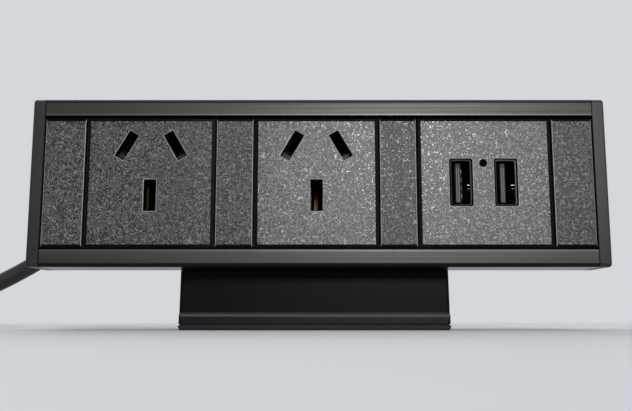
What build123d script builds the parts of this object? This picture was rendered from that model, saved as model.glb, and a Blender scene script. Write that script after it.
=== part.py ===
from build123d import *
import os
from math import cos, pi, radians, sin, sqrt, tan

# Desk power unit: an extruded aluminium housing on a moulded stand. Two socket outlets, a twin
# USB charger and four blank panels slide into its front between two rails, and two end caps
# close it. X runs along the housing, Y towards its back and Z up. The origin is on the desk,
# below the middle of the unit. All sizes are in millimetres.

# Front row, from left to right: widths of the visible panels
blank_1_width = 11.65
socket_1_width = 36.1
blank_2_width = 10.65
socket_2_width = 34.75
blank_3_width = 10.55
charger_width = 37.5
blank_4_width = 11.6
panel_gap = 0.45
end_play = 0.1

# Housing extrusion, seen from its end
housing_height = 47.9
housing_depth = 44.0
flat_depth = 14.0
rear_corner = 7.2
lower_arc_turn = 40.0
wall = 2.0
front_corner = 1.2
rail_height = 4.9
rail_thickness = 2.2
rib_thickness = 1.6
rib_height = 2.0

# Screw ports that run the length of the extrusion, and the screws in them
port_bore = 1.45
port_wall = 1.25
port_inset = 3.4
front_port_depth = 10.6
rear_port_turn = 35.0
port_slit = 1.5
cap_screw_radius = 1.4
cap_screw_length = 11.0
cap_screw_head_radius = 2.6
cap_screw_head_height = 1.5
cap_screw_clearance = 0.2

# Slot under the extrusion that takes the stand's nuts
slot_y = 3.0
slot_mouth = 5.4
slot_width = 9.2
slot_height = 3.2
slot_floor = 2.0
slot_wall = 1.8

# End caps
cap_thickness = 3.4
cap_edge = 0.7
lug_depth = 5.0
lug_thickness = 1.5
lug_reach = 3.0
lug_start = 14.8
seat_clearance = 0.15

# Front panels
panel_recess = 0.9
panel_margin = 0.6
bevel_width = 0.85
bevel_depth = 0.35
blank_side_bevel = 0.25
flange_thickness = 1.75
groove_clearance = 0.1
flange_hold = 1.4
joint_play = 0.05

# Socket outlet: places are from the middle of its panel
pin_half_spread = 6.9
pin_height = 10.6
pin_lean = 30.0
live_slot_width = 3.0
live_slot_length = 8.5
earth_height = -3.7
earth_slot_width = 3.5
earth_slot_length = 9.0

# Socket rear moulding
rear_half_width = 12.4
rear_bottom = -11.6
rear_top = 16.6
rear_body_depth = 19.9
tray_depth = 3.2
chamber_side_clearance = 0.9
chamber_end_clearance = 0.3
chamber_back_wall = 3.0
tab_side_clearance = 0.25
tab_end_clearance = 0.2
ear_reach = 4.2
ear_height = 6.0
ear_rise = 0.5
socket_screw_radius = 1.0
socket_screw_length = 4.8
socket_screw_clearance = 0.2
socket_screw_bite = 0.05
socket_screw_head_radius = 1.9
socket_screw_head_height = 1.3

# Contacts, stamped and folded from strip
strip = 0.6
contact_mouth = 1.6
contact_pinch = 0.7
contact_back = 1.0
contact_length = 11.0
pinch_depth = 3.2
contact_height = 6.4
contact_setback = 0.8
tab_height = 6.2
tab_reach = 5.0

# Safety shutter behind each pair of live slots
shutter_half_width = 10.3
shutter_bottom = 4.6
shutter_bar = 2.0
shutter_thickness = 2.0
shutter_cover = 3.0
shutter_travel = 3.2
shutter_clearance = 0.25
shutter_ramp = 1.2
shutter_arm_inside = 0.4
shutter_arm_outside = 0.8
shutter_spring_strip = 0.3
shutter_spring_depth = 1.6
flat_spring_height = 1.6
spring_end_inset = 0.8
spring_play = 0.05

# Twin USB charger
port_pitch = 12.7
port_middle = -0.4
port_opening_width = 6.6
port_opening_height = 13.6
port_opening_corner = 0.6
shell_width = 5.9
shell_height = 13.1
shell_depth = 13.4
shell_wall = 0.35
shell_corner = 0.8
shell_setback = 0.5
finger_spread = 3.1
finger_window_setback = 2.2
finger_window_length = 6.0
finger_window_height = 2.0
finger_height = 1.5
finger_bow = 0.45
finger_bow_depth = 1.6
finger_tip_depth = 0.5
tongue_thickness = 1.84
tongue_height = 11.1
tongue_setback = 1.0
tongue_gap = 1.0
tongue_tip_edge = 0.35
tongue_block_depth = 3.0
tongue_block_margin = 0.4
tongue_block_clearance = 0.15
contact_strips = 4
contact_strip_pitch = 2.3
contact_strip_width = 1.1
contact_strip_thickness = 0.2
contact_strip_setback = 1.2
lamp_radius = 1.1
lamp_height = 5.5
lamp_clearance = 0.05
lamp_setback = 0.1
board_thickness = 1.6
board_clearance = 0.2
cover_wall = 1.5
cover_depth = 26.0
cover_bottom = -12.9
cover_top = 15.8
cover_half_width = 17.0
cover_ledge = 1.0
cover_ledge_depth = 3.0
cover_ledge_inset = 1.0
vent_count = 5
vent_pitch = 5.0
vent_width = 1.6
vent_length = 6.0
vent_setback = 3.0
transformer_place = (7.5, -4.0)
transformer_size = 11.5
transformer_depth = 9.0
transformer_waist = 1.5
transformer_flange = 2.0
capacitor_place = (-8.5, 4.0)
capacitor_radius = 4.0
capacitor_length = 10.0
capacitor_edge = 0.5

# Overload breaker at the back
breaker_x = -24.0
breaker_width = 13.0
breaker_height = 19.0
breaker_depth = 16.0
breaker_wall_gap = 0.8
breaker_tab_spread = 5.5
breaker_tab_width = 6.2
breaker_tab_thickness = 0.8
breaker_tab_length = 5.0
bush_radius = 4.7
bush_clearance = 0.15
bush_reach = 2.0
breaker_nut_radius = 6.6
breaker_nut_thickness = 1.9
breaker_nut_sides = 12
thread_play = 0.05
button_radius = 3.0
button_clearance = 0.1
button_reach = 1.4
button_travel = 3.0
button_grip = 5.6
button_floor_gap = 0.4
button_edge = 0.5

# Mains cord: where it leaves the housing and its fittings
cord_diameter = 7.0
cord_length = 1800.0
cord_sides = 10
wound_cord_sides = 6
gland_x = -62.0
gland_radius = 7.0
gland_thickness = 3.0
gland_edge = 0.8
gland_stem_radius = 5.6
gland_hole_clearance = 0.15
gland_stem_length = 8.0
gland_nut_radius = 7.4
gland_nut_thickness = 3.4
relief_length = 20.0
relief_base_radius = 5.4
relief_tip_radius = 4.0
relief_rings = 4
relief_ring_width = 2.0
relief_first_groove = 2.0
relief_ring_pitch = 3.9
relief_groove = 0.7

# Stand
pad_thickness = 1.3
pad_riser = 0.4
pad_riser_inset = 0.6
pad_inset = 0.1
pad_edge = 0.3
base_thickness = 2.9
base_front_inset = 11.9
base_overhang = 4.0
base_width = 78.9
base_corner = 1.0
base_edge = 0.9
neck_clear_height = 12.8
neck_front_inset = 12.85
neck_depth = 26.0
neck_draft = 0.9
neck_corner = 1.0
neck_wall = 2.4
neck_rib = 1.6
neck_rib_pitch = 12.5
neck_shift = -1.2
saddle_clearance = 0.1
column_radius = 4.2
column_spread = 50.0
stand_screw_radius = 1.95
stand_screw_clearance = 0.2
stand_screw_head_radius = 3.7
stand_screw_head_height = 2.2
nut_length = 9.0
nut_side_clearance = 0.2
screw_end_gap = 0.4

# Plug on the end of the cord
plug_width = 36.0
plug_height = 28.0
plug_corner = 7.0
plug_length = 32.0
plug_base_width = 15.0
plug_neck_height = 13.0
plug_neck_corner = 4.0
plug_shoulder_share = 0.45
plug_boot_length = 18.0
plug_boot_radius = 5.4
boot_rings = 3
boot_ring_start = 4.0
boot_ring_pitch = 4.2
boot_ring_width = 1.8
boot_ring_depth = 0.8
plug_pin_width = 6.35
plug_pin_thickness = 1.63
plug_pin_length = 17.1
plug_earth_length = 20.0
plug_pin_half_spread = 6.85
plug_pin_drop = 14.3
plug_pin_rise = 5.6

# Wound cord beside the unit
coil_pitch = cord_diameter + 0.55
coil_layer = cord_diameter + 0.5
coil_centre = (-181.5, 38.7)
coil_start_angle = 98.0
floor_half_turns = 6
top_half_turns = 5
last_turn = 150.0
coil_approach = 12.5
tail_drop_length = 39.0

# Free cord from the strain relief to the wound cord, point by point
cord_route = [
    (-62.0, 54.5, 41.35),
    (-66.3, 70.1, 40.6),
    (-76.5, 83.4, 39.5),
    (-93.1, 92.7, 38.4),
    (-108.9, 95.2, 35.1),
    (-129.3, 95.5, 22.3),
    (-148.3, 93.1, 12.7),
    (-158.0, 92.4, 6.7),
]


# Places that follow from the sizes above
stand_height = pad_thickness + pad_riser + base_thickness + neck_clear_height
front_y = -(housing_depth + base_overhang) / 2
rear_y = front_y + housing_depth
bottom_z = stand_height
top_z = bottom_z + housing_height
middle_z = (bottom_z + top_z) / 2
flat_end_y = front_y + flat_depth
opening_half_height = housing_height / 2 - rail_height
face_y = front_y + panel_recess
flange_front = front_y + rail_thickness + groove_clearance / 2
flange_back = flange_front + flange_thickness
groove_back = flange_back + groove_clearance / 2
panel_half_height = opening_half_height - panel_margin
rear_back = flange_back + rear_body_depth

row = [
    ("blank_panel_1", blank_1_width),
    ("socket_face_1", socket_1_width),
    ("blank_panel_2", blank_2_width),
    ("socket_face_2", socket_2_width),
    ("blank_panel_3", blank_3_width),
    ("charger_face", charger_width),
    ("blank_panel_4", blank_4_width),
]
extrusion_length = sum(width for _, width in row) + panel_gap * (len(row) - 1) + 2 * end_play
half_length = extrusion_length / 2
panel_left = {}
panel_right = {}
edge = -half_length + end_play
for panel, width in row:
    panel_left[panel] = edge
    panel_right[panel] = edge + width
    edge += width + panel_gap


def panel_centre(panel):
    return (panel_left[panel] + panel_right[panel]) / 2


# The underside's large arc runs from the flat to the rounded rear corner, which it meets smoothly
# after its turn, so its radius follows from the depth that is left between them.
back_run = rear_y - flat_end_y
turn = radians(lower_arc_turn)
radius_step = (back_run - rear_corner) / sin(turn)
large_arc = rear_corner + radius_step
large_centre = (flat_end_y, bottom_z + large_arc)
small_centre = (flat_end_y + radius_step * sin(turn), large_centre[1] - radius_step * cos(turn))


def underside_z(y):
    """Height of the housing's underside at a depth y on the large arc."""
    if y <= flat_end_y:
        return bottom_z
    return large_centre[1] - sqrt(large_arc**2 - (y - flat_end_y) ** 2)


def block(x0, x1, y0, y1, z0, z1):
    """A box between two corners."""
    return Pos((x0 + x1) / 2, (y0 + y1) / 2, (z0 + z1) / 2) * Box(x1 - x0, y1 - y0, z1 - z0)


def along_x(sketch, x0, x1):
    """A sketch drawn in Y and Z, extruded from x0 to x1."""
    return extrude(Plane.YZ.offset(x0) * sketch, amount=x1 - x0, dir=(1, 0, 0))


def along_y(sketch, y0, y1):
    """A sketch drawn in X and Z, extruded from y0 to y1."""
    return extrude(Plane.XZ.offset(-y0) * sketch, amount=y1 - y0, dir=(0, 1, 0))


def along_z(sketch, z0, z1):
    """A sketch drawn in X and Y, extruded from z0 to z1."""
    return extrude(Plane.XY.offset(z0) * sketch, amount=z1 - z0, dir=(0, 0, 1))


def rectangle(u0, u1, v0, v1):
    """A rectangle between two corners of a sketch."""
    return Pos((u0 + u1) / 2, (v0 + v1) / 2) * Rectangle(u1 - u0, v1 - v0)


def rod_y(x, z, radius, y0, y1):
    """A round bar along Y."""
    return along_y(Pos(x, z) * Circle(radius), y0, y1)


def mirrored_z(point):
    return (point[0], bottom_z + top_z - point[1])


def housing_outline(inset=0.0):
    """The housing's outline in Y and Z, drawn inwards by an inset or outwards by a negative one."""
    low = bottom_z + inset
    high = top_z - inset
    front = front_y + inset
    back = rear_y - inset
    corner = max(front_corner - inset, 0.05)
    big = large_arc - inset
    small = rear_corner - inset
    large_top = mirrored_z(large_centre)
    small_top = mirrored_z(small_centre)
    step = lower_arc_turn
    edges = [
        Line((front + corner, low), (flat_end_y, low)),
        CenterArc(large_centre, big, -90, step),
        CenterArc(small_centre, small, step - 90, 90 - step),
        Line((back, small_centre[1]), (back, small_top[1])),
        CenterArc(small_top, small, 0, 90 - step),
        CenterArc(large_top, big, 90 - step, step),
        Line((flat_end_y, high), (front + corner, high)),
        CenterArc((front + corner, high - corner), corner, 90, 90),
        Line((front, high - corner), (front, low + corner)),
        CenterArc((front + corner, low + corner), corner, 180, 90),
    ]
    return make_face(edges)


def port_places():
    """Centres of the four screw ports in Y and Z."""
    reach = large_arc - port_inset
    lean = radians(rear_port_turn)
    front = (front_y + front_port_depth, bottom_z + port_inset)
    back = (large_centre[0] + reach * sin(lean), large_centre[1] - reach * cos(lean))
    return [front, mirrored_z(front), back, mirrored_z(back)]


def port_slit_cut(place):
    """The slit through which a screw port opens to the inside of the housing."""
    facing_up = place[1] < middle_z
    reach = port_bore + port_wall + 0.5
    low = place[1] if facing_up else place[1] - reach
    return rectangle(place[0] - port_slit / 2, place[0] + port_slit / 2, low, low + reach)


slot_roof = underside_z(slot_y) + slot_floor + slot_height


def housing_section():
    """The extrusion's section: a closed back, two rails, two ribs, four ports and the nut slot."""
    outline = housing_outline()
    hollow = housing_outline(wall) & rectangle(
        front_y + rail_thickness, rear_y, bottom_z, top_z
    )
    section = outline - hollow
    mouth = rectangle(
        front_y - 1,
        front_y + rail_thickness + 0.01,
        middle_z - opening_half_height,
        middle_z + opening_half_height,
    )
    section -= mouth
    for low in (bottom_z + wall - 0.01, top_z - wall - rib_height + 0.01):
        section += rectangle(groove_back, groove_back + rib_thickness, low, low + rib_height)
    half_slot = slot_width / 2
    boss = rectangle(
        slot_y - half_slot - slot_wall,
        slot_y + half_slot + slot_wall,
        bottom_z,
        slot_roof + slot_wall,
    )
    section += boss & outline
    for place in port_places():
        section += (Pos(*place) * Circle(port_bore + port_wall)) & outline
    for place in port_places():
        section -= Pos(*place) * Circle(port_bore)
        section -= port_slit_cut(place)
    section -= rectangle(
        slot_y - half_slot, slot_y + half_slot, slot_roof - slot_height, slot_roof
    )
    section -= rectangle(
        slot_y - slot_mouth / 2, slot_y + slot_mouth / 2, bottom_z - 1, slot_roof - slot_height + 0.01
    )
    return section


def make_extrusion():
    """The housing, cut to length, with round holes at the back for the cord gland and the breaker."""
    body = along_x(housing_section(), -half_length, half_length)
    for x, radius in (
        (gland_x, gland_stem_radius + gland_hole_clearance),
        (breaker_x, bush_radius + bush_clearance),
    ):
        body -= rod_y(x, middle_z, radius, rear_y - 2 * wall, rear_y + 1)
    return body


def make_end_cap(side):
    """A moulded plate flush with the housing, with two lugs inside it and four countersunk holes."""
    inner = half_length
    outer = half_length + cap_thickness
    plate = along_x(housing_outline(), inner, outer)
    rim = plate.faces().sort_by(Axis.X)[-1].edges()
    plate = fillet(rim, cap_edge)
    ring = housing_outline(wall + seat_clearance)
    ring -= housing_outline(wall + seat_clearance + lug_thickness)
    lugs = ring & rectangle(
        front_y + lug_start, front_y + lug_start + lug_depth, bottom_z, top_z
    )
    plate += along_x(lugs, inner - lug_reach, inner + 0.1)
    for y, z in port_places():
        hole = Pos(y, z) * Circle(cap_screw_radius + cap_screw_clearance)
        plate -= along_x(hole, inner - 1, outer + 1)
        cone = Pos(outer - cap_screw_head_height / 2, y, z) * Rot(0, 90, 0)
        plate -= cone * Cone(
            cap_screw_radius + cap_screw_clearance,
            cap_screw_head_radius + cap_screw_clearance,
            cap_screw_head_height,
        )
    return plate if side > 0 else mirror(plate, Plane.YZ)


def cross_recess(size, depth):
    """The cross that a driver fits, with its mouth at the top of its own frame."""
    arm = size / 3.6
    return Pos(0, 0, -depth / 2) * (Box(size, arm, depth) + Box(arm, size, depth))


def countersunk_screw(shank, length, head, head_height):
    """A countersunk screw whose head's top is at z = 0 and whose shank points down."""
    body = Pos(0, 0, -head_height / 2) * Cone(shank, head, head_height)
    body += Pos(0, 0, -(head_height + length) / 2) * Cylinder(shank, length - head_height)
    return body - cross_recess(head, head_height * 0.7)


def make_cap_screws():
    screw = countersunk_screw(
        cap_screw_radius, cap_screw_length, cap_screw_head_radius, cap_screw_head_height
    )
    outer = half_length + cap_thickness - 0.05
    pieces = []
    for y, z in port_places():
        pieces.append(Pos(outer, y, z) * Rot(0, 90, 0) * screw)
        pieces.append(Pos(-outer, y, z) * Rot(0, -90, 0) * screw)
    return pieces


def make_panel(panel, side_bevel):
    """A raised panel with bevelled edges on a flange that slides in the groove behind the rails."""
    left = panel_left[panel]
    right = panel_right[panel]
    low = middle_z - panel_half_height
    high = middle_z + panel_half_height
    bevel_y = face_y + bevel_depth
    outline = rectangle(left, right, low, high)
    face = rectangle(
        left + side_bevel, right - side_bevel, low + bevel_width, high - bevel_width
    )
    raised = loft([Plane.XZ.offset(-bevel_y) * outline, Plane.XZ.offset(-face_y) * face])
    raised += along_y(outline, bevel_y, flange_front + 0.01)
    half_flange = opening_half_height + flange_hold
    side = panel_gap / 2 - joint_play
    flange = rectangle(
        left - side if left > -half_length + 2 * end_play else left,
        right + side if right < half_length - 2 * end_play else right,
        middle_z - half_flange,
        middle_z + half_flange,
    )
    return raised + along_y(flange, flange_front, flange_back)


def at_pin(centre_x, which):
    """The place and lean of a socket's pin: the live pair lean inwards, the earth stands upright."""
    if which == "earth":
        return Pos(centre_x, 0, middle_z + earth_height)
    side = -1 if which == "active" else 1
    place = Pos(centre_x + side * pin_half_spread, 0, middle_z + pin_height)
    return place * Rot(0, -side * pin_lean, 0)


def slot_box(which, y0, y1, side=0.0, end=0.0):
    """The space of one pin slot between two depths, grown at its sides and at its ends."""
    width = earth_slot_width if which == "earth" else live_slot_width
    length = earth_slot_length if which == "earth" else live_slot_length
    across = width / 2 + side
    along = length / 2 + end
    return block(-across, across, y0, y1, -along, along)


pins = ("active", "neutral", "earth")
ear_z = middle_z + ear_rise
ear_x = rear_half_width + ear_reach / 2


def make_socket_face(panel):
    """A socket's front moulding with its three slots and two blind holes behind for the screws."""
    centre = panel_centre(panel)
    body = make_panel(panel, bevel_width)
    for which in pins:
        body -= at_pin(centre, which) * slot_box(which, face_y - 1, flange_back + 1)
    for side in (-1, 1):
        body -= rod_y(
            centre + side * ear_x,
            ear_z,
            socket_screw_radius + socket_screw_bite,
            flange_back + tray_depth - socket_screw_length - socket_screw_clearance,
            flange_back + 1,
        )
    return body


shutter_front = flange_back + shutter_clearance
shutter_back = shutter_front + shutter_thickness
pocket_back = shutter_back + shutter_clearance
arm_top_z = pin_height - (live_slot_length / 2 - shutter_cover) * cos(radians(pin_lean))
arm_mid_x = pin_half_spread + (live_slot_length / 2 - shutter_cover) * sin(radians(pin_lean))
spring_floor = shutter_bottom - shutter_travel - flat_spring_height


def shutter_outline():
    """The shutter seen from the front: a bar with an arm across the outer third of each live slot."""
    lean = radians(pin_lean)
    inner_run = live_slot_width / 2 + shutter_arm_inside
    outer_run = live_slot_width / 2 + shutter_arm_outside
    bar_top = shutter_bottom + shutter_bar
    inner_point = (arm_mid_x - inner_run * cos(lean), arm_top_z - inner_run * sin(lean))
    outer_point = (arm_mid_x + outer_run * cos(lean), arm_top_z + outer_run * sin(lean))
    foot_x = inner_point[0] - (inner_point[1] - bar_top) * tan(lean)
    half = [
        (shutter_half_width, shutter_bottom),
        (shutter_half_width, outer_point[1]),
        outer_point,
        inner_point,
        (foot_x, bar_top),
    ]
    other = [(-x, z) for x, z in reversed(half)]
    return half + other, outer_point[1]


shutter_points, shutter_top = shutter_outline()


def make_shutter(panel):
    """The sliding shutter. Its arms are ramped, so that two pins together push it down."""
    centre = panel_centre(panel)
    sketch = Pos(centre, middle_z) * Polygon(*shutter_points, align=None)
    body = along_y(sketch, shutter_front, shutter_back)
    for side in (-1, 1):
        place = Pos(centre + side * arm_mid_x, shutter_front, middle_z + arm_top_z)
        ramp = Box(2 * live_slot_width, shutter_ramp * sqrt(2), shutter_ramp * sqrt(2))
        body -= place * Rot(0, -side * pin_lean, 0) * Rot(45, 0, 0) * ramp
    return body


def make_shutter_spring(panel):
    """A bowed leaf spring between the tray's ledge and the shutter's bar."""
    low = spring_floor + spring_play
    rise = shutter_bottom - spring_play - low
    half_span = shutter_half_width - spring_end_inset
    radius = (half_span**2 + rise**2) / (2 * rise)
    ring = Circle(radius) - Circle(radius - shutter_spring_strip)
    ring = Pos(0, low + rise - radius) * ring
    leaf = ring & rectangle(-half_span, half_span, low, low + rise + 1)
    middle = (shutter_front + shutter_back) / 2
    half_depth = shutter_spring_depth / 2
    place = Pos(panel_centre(panel), middle_z)
    return along_y(place * leaf, middle - half_depth, middle + half_depth)


def make_socket_rear(panel):
    """A socket's rear moulding: a tray for the shutter, three contact chambers and two ears."""
    centre = panel_centre(panel)
    left = centre - rear_half_width
    right = centre + rear_half_width
    low = middle_z + rear_bottom
    high = middle_z + rear_top
    body = block(left, right, flange_back, rear_back, low, high)
    body += block(
        left - ear_reach,
        right + ear_reach,
        flange_back,
        flange_back + tray_depth,
        ear_z - ear_height / 2,
        ear_z + ear_height / 2,
    )
    pocket_half = shutter_half_width + shutter_clearance
    body -= block(
        centre - pocket_half,
        centre + pocket_half,
        flange_back - 1,
        pocket_back,
        middle_z + spring_floor,
        middle_z + shutter_top + shutter_clearance,
    )
    chamber_end = rear_back - chamber_back_wall
    for which in pins:
        place = at_pin(centre, which)
        body -= place * slot_box(
            which, flange_back - 1, chamber_end, chamber_side_clearance, chamber_end_clearance
        )
        half_tab = tab_height / 2 + tab_end_clearance
        side = strip / 2 + tab_side_clearance
        body -= place * block(-side, side, chamber_end - 1, rear_back + 1, -half_tab, half_tab)
    for side in (-1, 1):
        body -= rod_y(
            centre + side * ear_x,
            ear_z,
            socket_screw_radius + socket_screw_clearance,
            flange_back - 1,
            flange_back + tray_depth + 1,
        )
    return body


def make_contact(panel, which):
    """A forked contact with a flared mouth, and a flat tab that leaves through the back wall."""
    mouth = pocket_back + contact_setback
    pinch = mouth + pinch_depth
    back = mouth + contact_length
    profile = [
        (contact_mouth, mouth),
        (contact_mouth + strip, mouth),
        (contact_pinch + strip, pinch),
        (contact_back + strip, back),
    ]
    inner = [(contact_back, back - strip), (contact_pinch, pinch)]
    outline = profile + [(-x, y) for x, y in reversed(profile)]
    outline += [(-x, y) for x, y in reversed(inner)] + inner
    half = contact_height / 2
    fork = along_z(Polygon(*outline, align=None), -half, half)
    half_tab = tab_height / 2
    tab_end = rear_back + tab_reach
    fork += block(-strip / 2, strip / 2, back - strip / 2, tab_end, -half_tab, half_tab)
    return at_pin(panel_centre(panel), which) * fork


def make_socket_screws():
    """Cheese head screws through the ears of both rear mouldings."""
    pieces = []
    back = flange_back + tray_depth
    seat = back + socket_screw_bite
    for panel in ("socket_face_1", "socket_face_2"):
        for side in (-1, 1):
            x = panel_centre(panel) + side * ear_x
            screw = rod_y(x, ear_z, socket_screw_radius, back - socket_screw_length, seat)
            screw += rod_y(
                x, ear_z, socket_screw_head_radius, seat, seat + socket_screw_head_height
            )
            pieces.append(screw)
    return pieces


charger = panel_centre("charger_face")
shell_front = face_y + shell_setback
shell_back = shell_front + shell_depth
board_front = shell_back
board_back = board_front + board_thickness
lamp_x = charger + port_middle


def port_x(index):
    return charger + port_middle + (index - 0.5) * port_pitch


def make_charger_face():
    """The charger's front moulding, with two upright port openings and a small lamp hole."""
    body = make_panel("charger_face", bevel_width)
    for index in (0, 1):
        opening = Pos(port_x(index), middle_z) * RectangleRounded(
            port_opening_width, port_opening_height, port_opening_corner
        )
        body -= along_y(opening, face_y - 1, flange_back + 1)
    hole = lamp_radius + lamp_clearance
    return body - rod_y(lamp_x, middle_z + lamp_height, hole, face_y - 1, flange_back + 1)


def make_usb_shell(index):
    """A folded steel shell, closed at the back, with two spring fingers in each broad wall."""
    x = port_x(index)
    outer = Pos(x, middle_z) * RectangleRounded(shell_width, shell_height, shell_corner)
    inner = Pos(x, middle_z) * RectangleRounded(
        shell_width - 2 * shell_wall, shell_height - 2 * shell_wall, shell_corner - shell_wall
    )
    body = along_y(outer, shell_front, shell_back)
    body -= along_y(inner, shell_front - 1, shell_back - shell_wall)
    front = shell_front + finger_window_setback
    back = front + finger_window_length
    half_window = finger_window_height / 2
    half_finger = finger_height / 2
    half_wall = shell_wall / 2
    for z in (middle_z - finger_spread, middle_z + finger_spread):
        body -= block(
            x - shell_width, x + shell_width, front, back, z - half_window, z + half_window
        )
        for side in (-1, 1):
            root = x + side * (shell_width / 2 - half_wall)
            bowed = root - side * finger_bow
            finger = Polygon(
                (root - half_wall, back + joint_play),
                (root + half_wall, back + joint_play),
                (bowed + half_wall, front + finger_bow_depth),
                (root + half_wall, front + finger_tip_depth),
                (root - half_wall, front + finger_tip_depth),
                (bowed - half_wall, front + finger_bow_depth),
                align=None,
            )
            body += along_z(finger, z - half_finger, z + half_finger)
    return body


def tongue_left(index):
    return port_x(index) - shell_width / 2 + shell_wall + tongue_gap


def make_usb_tongue(index):
    """The moulded tongue that carries a port's contact strips, on a block at the back."""
    left = tongue_left(index)
    x = port_x(index)
    half = tongue_height / 2
    inner_half = shell_width / 2 - shell_wall - tongue_block_clearance
    block_half = half + tongue_block_margin
    back = shell_back - shell_wall
    block_front = back - tongue_block_depth
    body = block(
        left,
        left + tongue_thickness,
        shell_front + tongue_setback,
        block_front + 0.1,
        middle_z - half,
        middle_z + half,
    )
    tip = body.faces().sort_by(Axis.Y)[0].edges().filter_by(Axis.Z)
    body = chamfer(tip, tongue_tip_edge)
    body += block(
        x - inner_half,
        x + inner_half,
        block_front,
        back,
        middle_z - block_half,
        middle_z + block_half,
    )
    return body


def make_usb_contacts():
    """Four contact strips on the open side of each tongue."""
    pieces = []
    for index in (0, 1):
        face = tongue_left(index) + tongue_thickness
        for number in range(contact_strips):
            z = middle_z + (number - (contact_strips - 1) / 2) * contact_strip_pitch
            pieces.append(
                block(
                    face,
                    face + contact_strip_thickness,
                    shell_front + tongue_setback + contact_strip_setback,
                    shell_back - shell_wall - tongue_block_depth,
                    z - contact_strip_width / 2,
                    z + contact_strip_width / 2,
                )
            )
    return pieces


board_bottom = middle_z + cover_bottom + cover_wall + board_clearance
board_top = middle_z + cover_top - cover_wall - board_clearance
board_half_width = cover_half_width - cover_wall - board_clearance
cover_back = flange_back + cover_depth


def make_charger_board():
    return block(
        charger - board_half_width,
        charger + board_half_width,
        board_front,
        board_back,
        board_bottom,
        board_top,
    )


def make_lamp():
    """A clear light pipe from the board to the front face."""
    return rod_y(lamp_x, middle_z + lamp_height, lamp_radius, face_y + lamp_setback, board_front)


def make_transformer():
    """The charger's small wound transformer: two core halves round a bobbin."""
    x = charger + transformer_place[0]
    z = middle_z + transformer_place[1]
    half = transformer_size / 2
    back = board_back + transformer_depth
    body = block(x - half, x + half, board_back, back, z - half, z + half)
    for side in (-1, 1):
        gap = Pos(x + side * half, (board_back + back) / 2, z)
        body -= gap * Box(
            2 * transformer_waist, transformer_depth - 2 * transformer_flange, transformer_size + 1
        )
    return body


def make_capacitor():
    """The charger's reservoir capacitor, standing on the board."""
    x = charger + capacitor_place[0]
    z = middle_z + capacitor_place[1]
    body = rod_y(x, z, capacitor_radius, board_back, board_back + capacitor_length)
    return chamfer(body.faces().sort_by(Axis.Y)[-1].edges(), capacitor_edge)


def make_charger_cover():
    """The charger's rear cover, open at the front, with vents above and below."""
    left = charger - cover_half_width
    right = charger + cover_half_width
    low = middle_z + cover_bottom
    high = middle_z + cover_top
    body = block(left, right, flange_back, cover_back, low, high)
    body -= block(
        left + cover_wall,
        right - cover_wall,
        flange_back - 1,
        cover_back - cover_wall,
        low + cover_wall,
        high - cover_wall,
    )
    ledge_y = board_back + joint_play
    for side in (-1, 1):
        ledge_x = charger + side * (cover_half_width - cover_wall)
        body += block(
            ledge_x - cover_ledge,
            ledge_x + cover_ledge,
            ledge_y,
            ledge_y + cover_ledge_depth,
            low + cover_ledge_inset,
            high - cover_ledge_inset,
        )
    vent_back = cover_back - vent_setback
    for number in range(vent_count):
        x = charger + (number - (vent_count - 1) / 2) * vent_pitch
        body -= block(
            x - vent_width / 2,
            x + vent_width / 2,
            vent_back - vent_length,
            vent_back,
            low - 1,
            high + 1,
        )
    return body


breaker_back = rear_y - wall
bush_end = rear_y + bush_reach
button_start = bush_end - button_travel - button_grip
bore_start = button_start - button_floor_gap


def make_breaker():
    """The thermal breaker's case, with its threaded bush through the housing's back wall."""
    x = breaker_x
    half_height = breaker_height / 2
    case_back = breaker_back - breaker_wall_gap
    case_front = case_back - breaker_depth
    body = block(
        x - breaker_width / 2,
        x + breaker_width / 2,
        case_front,
        case_back,
        middle_z - half_height,
        middle_z + half_height,
    )
    body += rod_y(x, middle_z, bush_radius, case_back - 0.1, bush_end)
    body -= rod_y(x, middle_z, button_radius + button_clearance, bore_start, bush_end + 1)
    for z in (middle_z - breaker_tab_spread, middle_z + breaker_tab_spread):
        body += block(
            x - breaker_tab_thickness / 2,
            x + breaker_tab_thickness / 2,
            case_front - breaker_tab_length,
            case_front + 0.1,
            z - breaker_tab_width / 2,
            z + breaker_tab_width / 2,
        )
    return body


def make_breaker_nut():
    """The knurled ring nut that holds the breaker against the housing's back."""
    ring = RegularPolygon(breaker_nut_radius, breaker_nut_sides)
    ring -= Circle(bush_radius + thread_play)
    place = Pos(breaker_x, middle_z) * ring
    return along_y(place, rear_y, rear_y + breaker_nut_thickness)


def make_reset_button():
    """The breaker's push button, bevelled at its end. It is pushed in, and jumps out by its travel."""
    body = rod_y(breaker_x, middle_z, button_radius, button_start, bush_end + button_reach)
    return chamfer(body.faces().sort_by(Axis.Y)[-1].edges(), button_edge)


def make_gland():
    """The cord's gland: a collar outside and a stem through the housing's back wall."""
    body = rod_y(gland_x, middle_z, gland_radius, rear_y, rear_y + gland_thickness)
    body = chamfer(body.faces().sort_by(Axis.Y)[-1].edges(), gland_edge)
    return body + rod_y(
        gland_x, middle_z, gland_stem_radius, rear_y - gland_stem_length, rear_y + 0.1
    )


def make_gland_nut():
    ring = RegularPolygon(gland_nut_radius, 6) - Circle(gland_stem_radius + thread_play)
    place = Pos(gland_x, middle_z) * ring
    back = rear_y - wall
    return along_y(place, back - gland_nut_thickness, back)


relief_start = rear_y + gland_thickness
relief_end = relief_start + relief_length


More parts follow.
